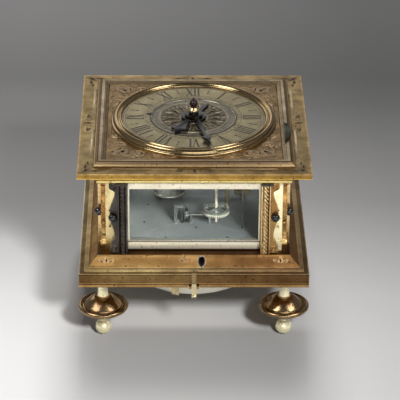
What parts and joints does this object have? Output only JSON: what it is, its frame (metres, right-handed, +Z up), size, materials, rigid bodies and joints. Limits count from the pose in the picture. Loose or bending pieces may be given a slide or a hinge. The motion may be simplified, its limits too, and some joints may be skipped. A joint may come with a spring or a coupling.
{
  "type": "horizontal table clock",
  "caption": "Square gilt brass table clock with a dial on top, glazed sides, turned feet, a bell below and a hinged case over it.",
  "frame": {"origin": "on the floor, under the middle of the clock", "axes": "+Z up, the front is -Y, +X to the right seen from the front; twelve o'clock points to +Y"},
  "size_m": [0.1324, 0.1376, 0.1251],
  "materials": {
    "gilt": "worn fire gilding with brown patina",
    "pale_gold": "bright polished gilding",
    "bronze": "polished dark gilt bronze",
    "bell_metal": "pale polished bell metal",
    "cream_gilt": "pale burnished gilding",
    "clear_glass": "clear flat glass",
    "silvered": "silvered brass, slightly yellowed",
    "blued_steel": "dark blued steel",
    "clock_brass": "polished clock brass",
    "gut": "twisted gut line"
  },
  "bodies": {
    "stand": {"bottom_plate": "gilt", "foot_spindle_fl": "pale_gold", "foot_spindle_fr": "pale_gold", "foot_spindle_bl": "pale_gold", "foot_spindle_br": "pale_gold", "foot_saucer_fl": "bronze", "foot_saucer_fr": "bronze", "foot_saucer_bl": "bronze", "foot_saucer_br": "bronze", "bell": "bell_metal", "bell_stud": "pale_gold", "bell_nut": "pale_gold", "bell_strap": "pale_gold", "base_hinge_leaf": "gilt", "hinge_pin": "blued_steel"},
    "case": {"case_hinge_leaf": "gilt", "base_moulding": "gilt", "keyhole_bush": "silvered", "corner_post_fl": "pale_gold", "corner_post_fr": "pale_gold", "corner_post_bl": "pale_gold", "corner_post_br": "pale_gold", "pilasters_fl": "gilt", "pilasters_fr": "gilt", "pilasters_bl": "gilt", "pilasters_br": "gilt", "window_frame_front": "cream_gilt", "window_frame_right": "cream_gilt", "window_frame_back": "cream_gilt", "window_frame_left": "cream_gilt", "glass_front": "clear_glass", "glass_right": "clear_glass", "glass_back": "clear_glass", "glass_left": "clear_glass", "ball_studs": "blued_steel", "upper_frame": "pale_gold", "top_plate": "gilt", "top_moulding": "gilt", "bezel": "pale_gold", "chapter_ring": "silvered", "lower_plate": "silvered", "upper_plate": "silvered", "plate_pillars": "clock_brass", "gut_line": "gut", "balance_cock": "clock_brass"},
    "latch": {"latch": "pale_gold"},
    "catch": {"top_catch": "blued_steel"},
    "alarm_set": {"alarm_disc": "silvered", "alarm_hand": "blued_steel"},
    "hour_train": {"hour_wheel": "clock_brass", "hand_finial": "blued_steel"},
    "hour_hand": {"hour_hand": "blued_steel"},
    "fusee": {"fusee": "clock_brass", "great_wheel": "clock_brass"},
    "barrel": {"barrel": "clock_brass"},
    "second": {"second_wheel": "clock_brass"},
    "contrate": {"contrate_wheel": "clock_brass"},
    "escape": {"escape_wheel": "clock_brass"},
    "balance": {"balance": "blued_steel"},
    "hammer": {"hammer": "blued_steel"}
  },
  "joints": [
    {"name": "case_hinge", "type": "hinge", "parent": "stand", "child": "case", "pos_m": [0, 0.0675, 0.0395], "axis": [-1, 0, 0], "range_deg": [0, 95]},
    {"name": "latch_swing", "type": "hinge", "parent": "stand", "child": "latch", "pos_m": [0, -0.0664, 0.0384], "axis": [1, 0, 0], "range_deg": [0, 30]},
    {"name": "catch_turn", "type": "hinge", "parent": "case", "child": "catch", "pos_m": [0.0525, -0.0093, 0.112], "axis": [0, 0, 1], "range_deg": [0, 40]},
    {"name": "alarm_set", "type": "hinge", "parent": "case", "child": "alarm_set", "pos_m": [0, 0, 0.111], "axis": [0, 0, 1], "continuous": true},
    {"name": "hour_turn", "type": "hinge", "parent": "case", "child": "hour_train", "pos_m": [0, 0, 0.1], "axis": [0, 0, 1], "continuous": true},
    {"name": "hand_set", "type": "hinge", "parent": "hour_train", "child": "hour_hand", "pos_m": [0, 0, 0.116], "axis": [0, 0, 1], "continuous": true},
    {"name": "fusee_turn", "type": "hinge", "parent": "case", "child": "fusee", "pos_m": [0.029, 0.005, 0.07], "axis": [0, 0, 1], "continuous": true},
    {"name": "barrel_turn", "type": "hinge", "parent": "case", "child": "barrel", "pos_m": [-0.014, 0.009, 0.07], "axis": [0, 0, 1], "continuous": true},
    {"name": "second_turn", "type": "hinge", "parent": "case", "child": "second", "pos_m": [0.0195, -0.011, 0.07], "axis": [0, 0, 1], "continuous": true},
    {"name": "contrate_turn", "type": "hinge", "parent": "case", "child": "contrate", "pos_m": [0.013, -0.023, 0.07], "axis": [0, 0, 1], "continuous": true},
    {"name": "escape_turn", "type": "hinge", "parent": "case", "child": "escape", "pos_m": [0, -0.023, 0.06165], "axis": [1, 0, 0], "continuous": true},
    {"name": "balance_swing", "type": "hinge", "parent": "case", "child": "balance", "pos_m": [-0.0066, -0.023, 0.06], "axis": [0, 0, 1], "range_deg": [-50, 50]},
    {"name": "hammer_swing", "type": "hinge", "parent": "case", "child": "hammer", "pos_m": [-0.01207, 0.04035, 0.05], "axis": [0, 0, 1], "range_deg": [0, 10], "stiffness_Nm_per_rad": 0.01}
  ],
  "couplings": [
    {"joint": "hour_turn", "follows": "fusee_turn", "ratio": -0.16667},
    {"joint": "barrel_turn", "follows": "fusee_turn", "ratio": 0.7},
    {"joint": "second_turn", "follows": "fusee_turn", "ratio": -6},
    {"joint": "contrate_turn", "follows": "fusee_turn", "ratio": 30},
    {"joint": "escape_turn", "follows": "fusee_turn", "ratio": 120}
  ]
}
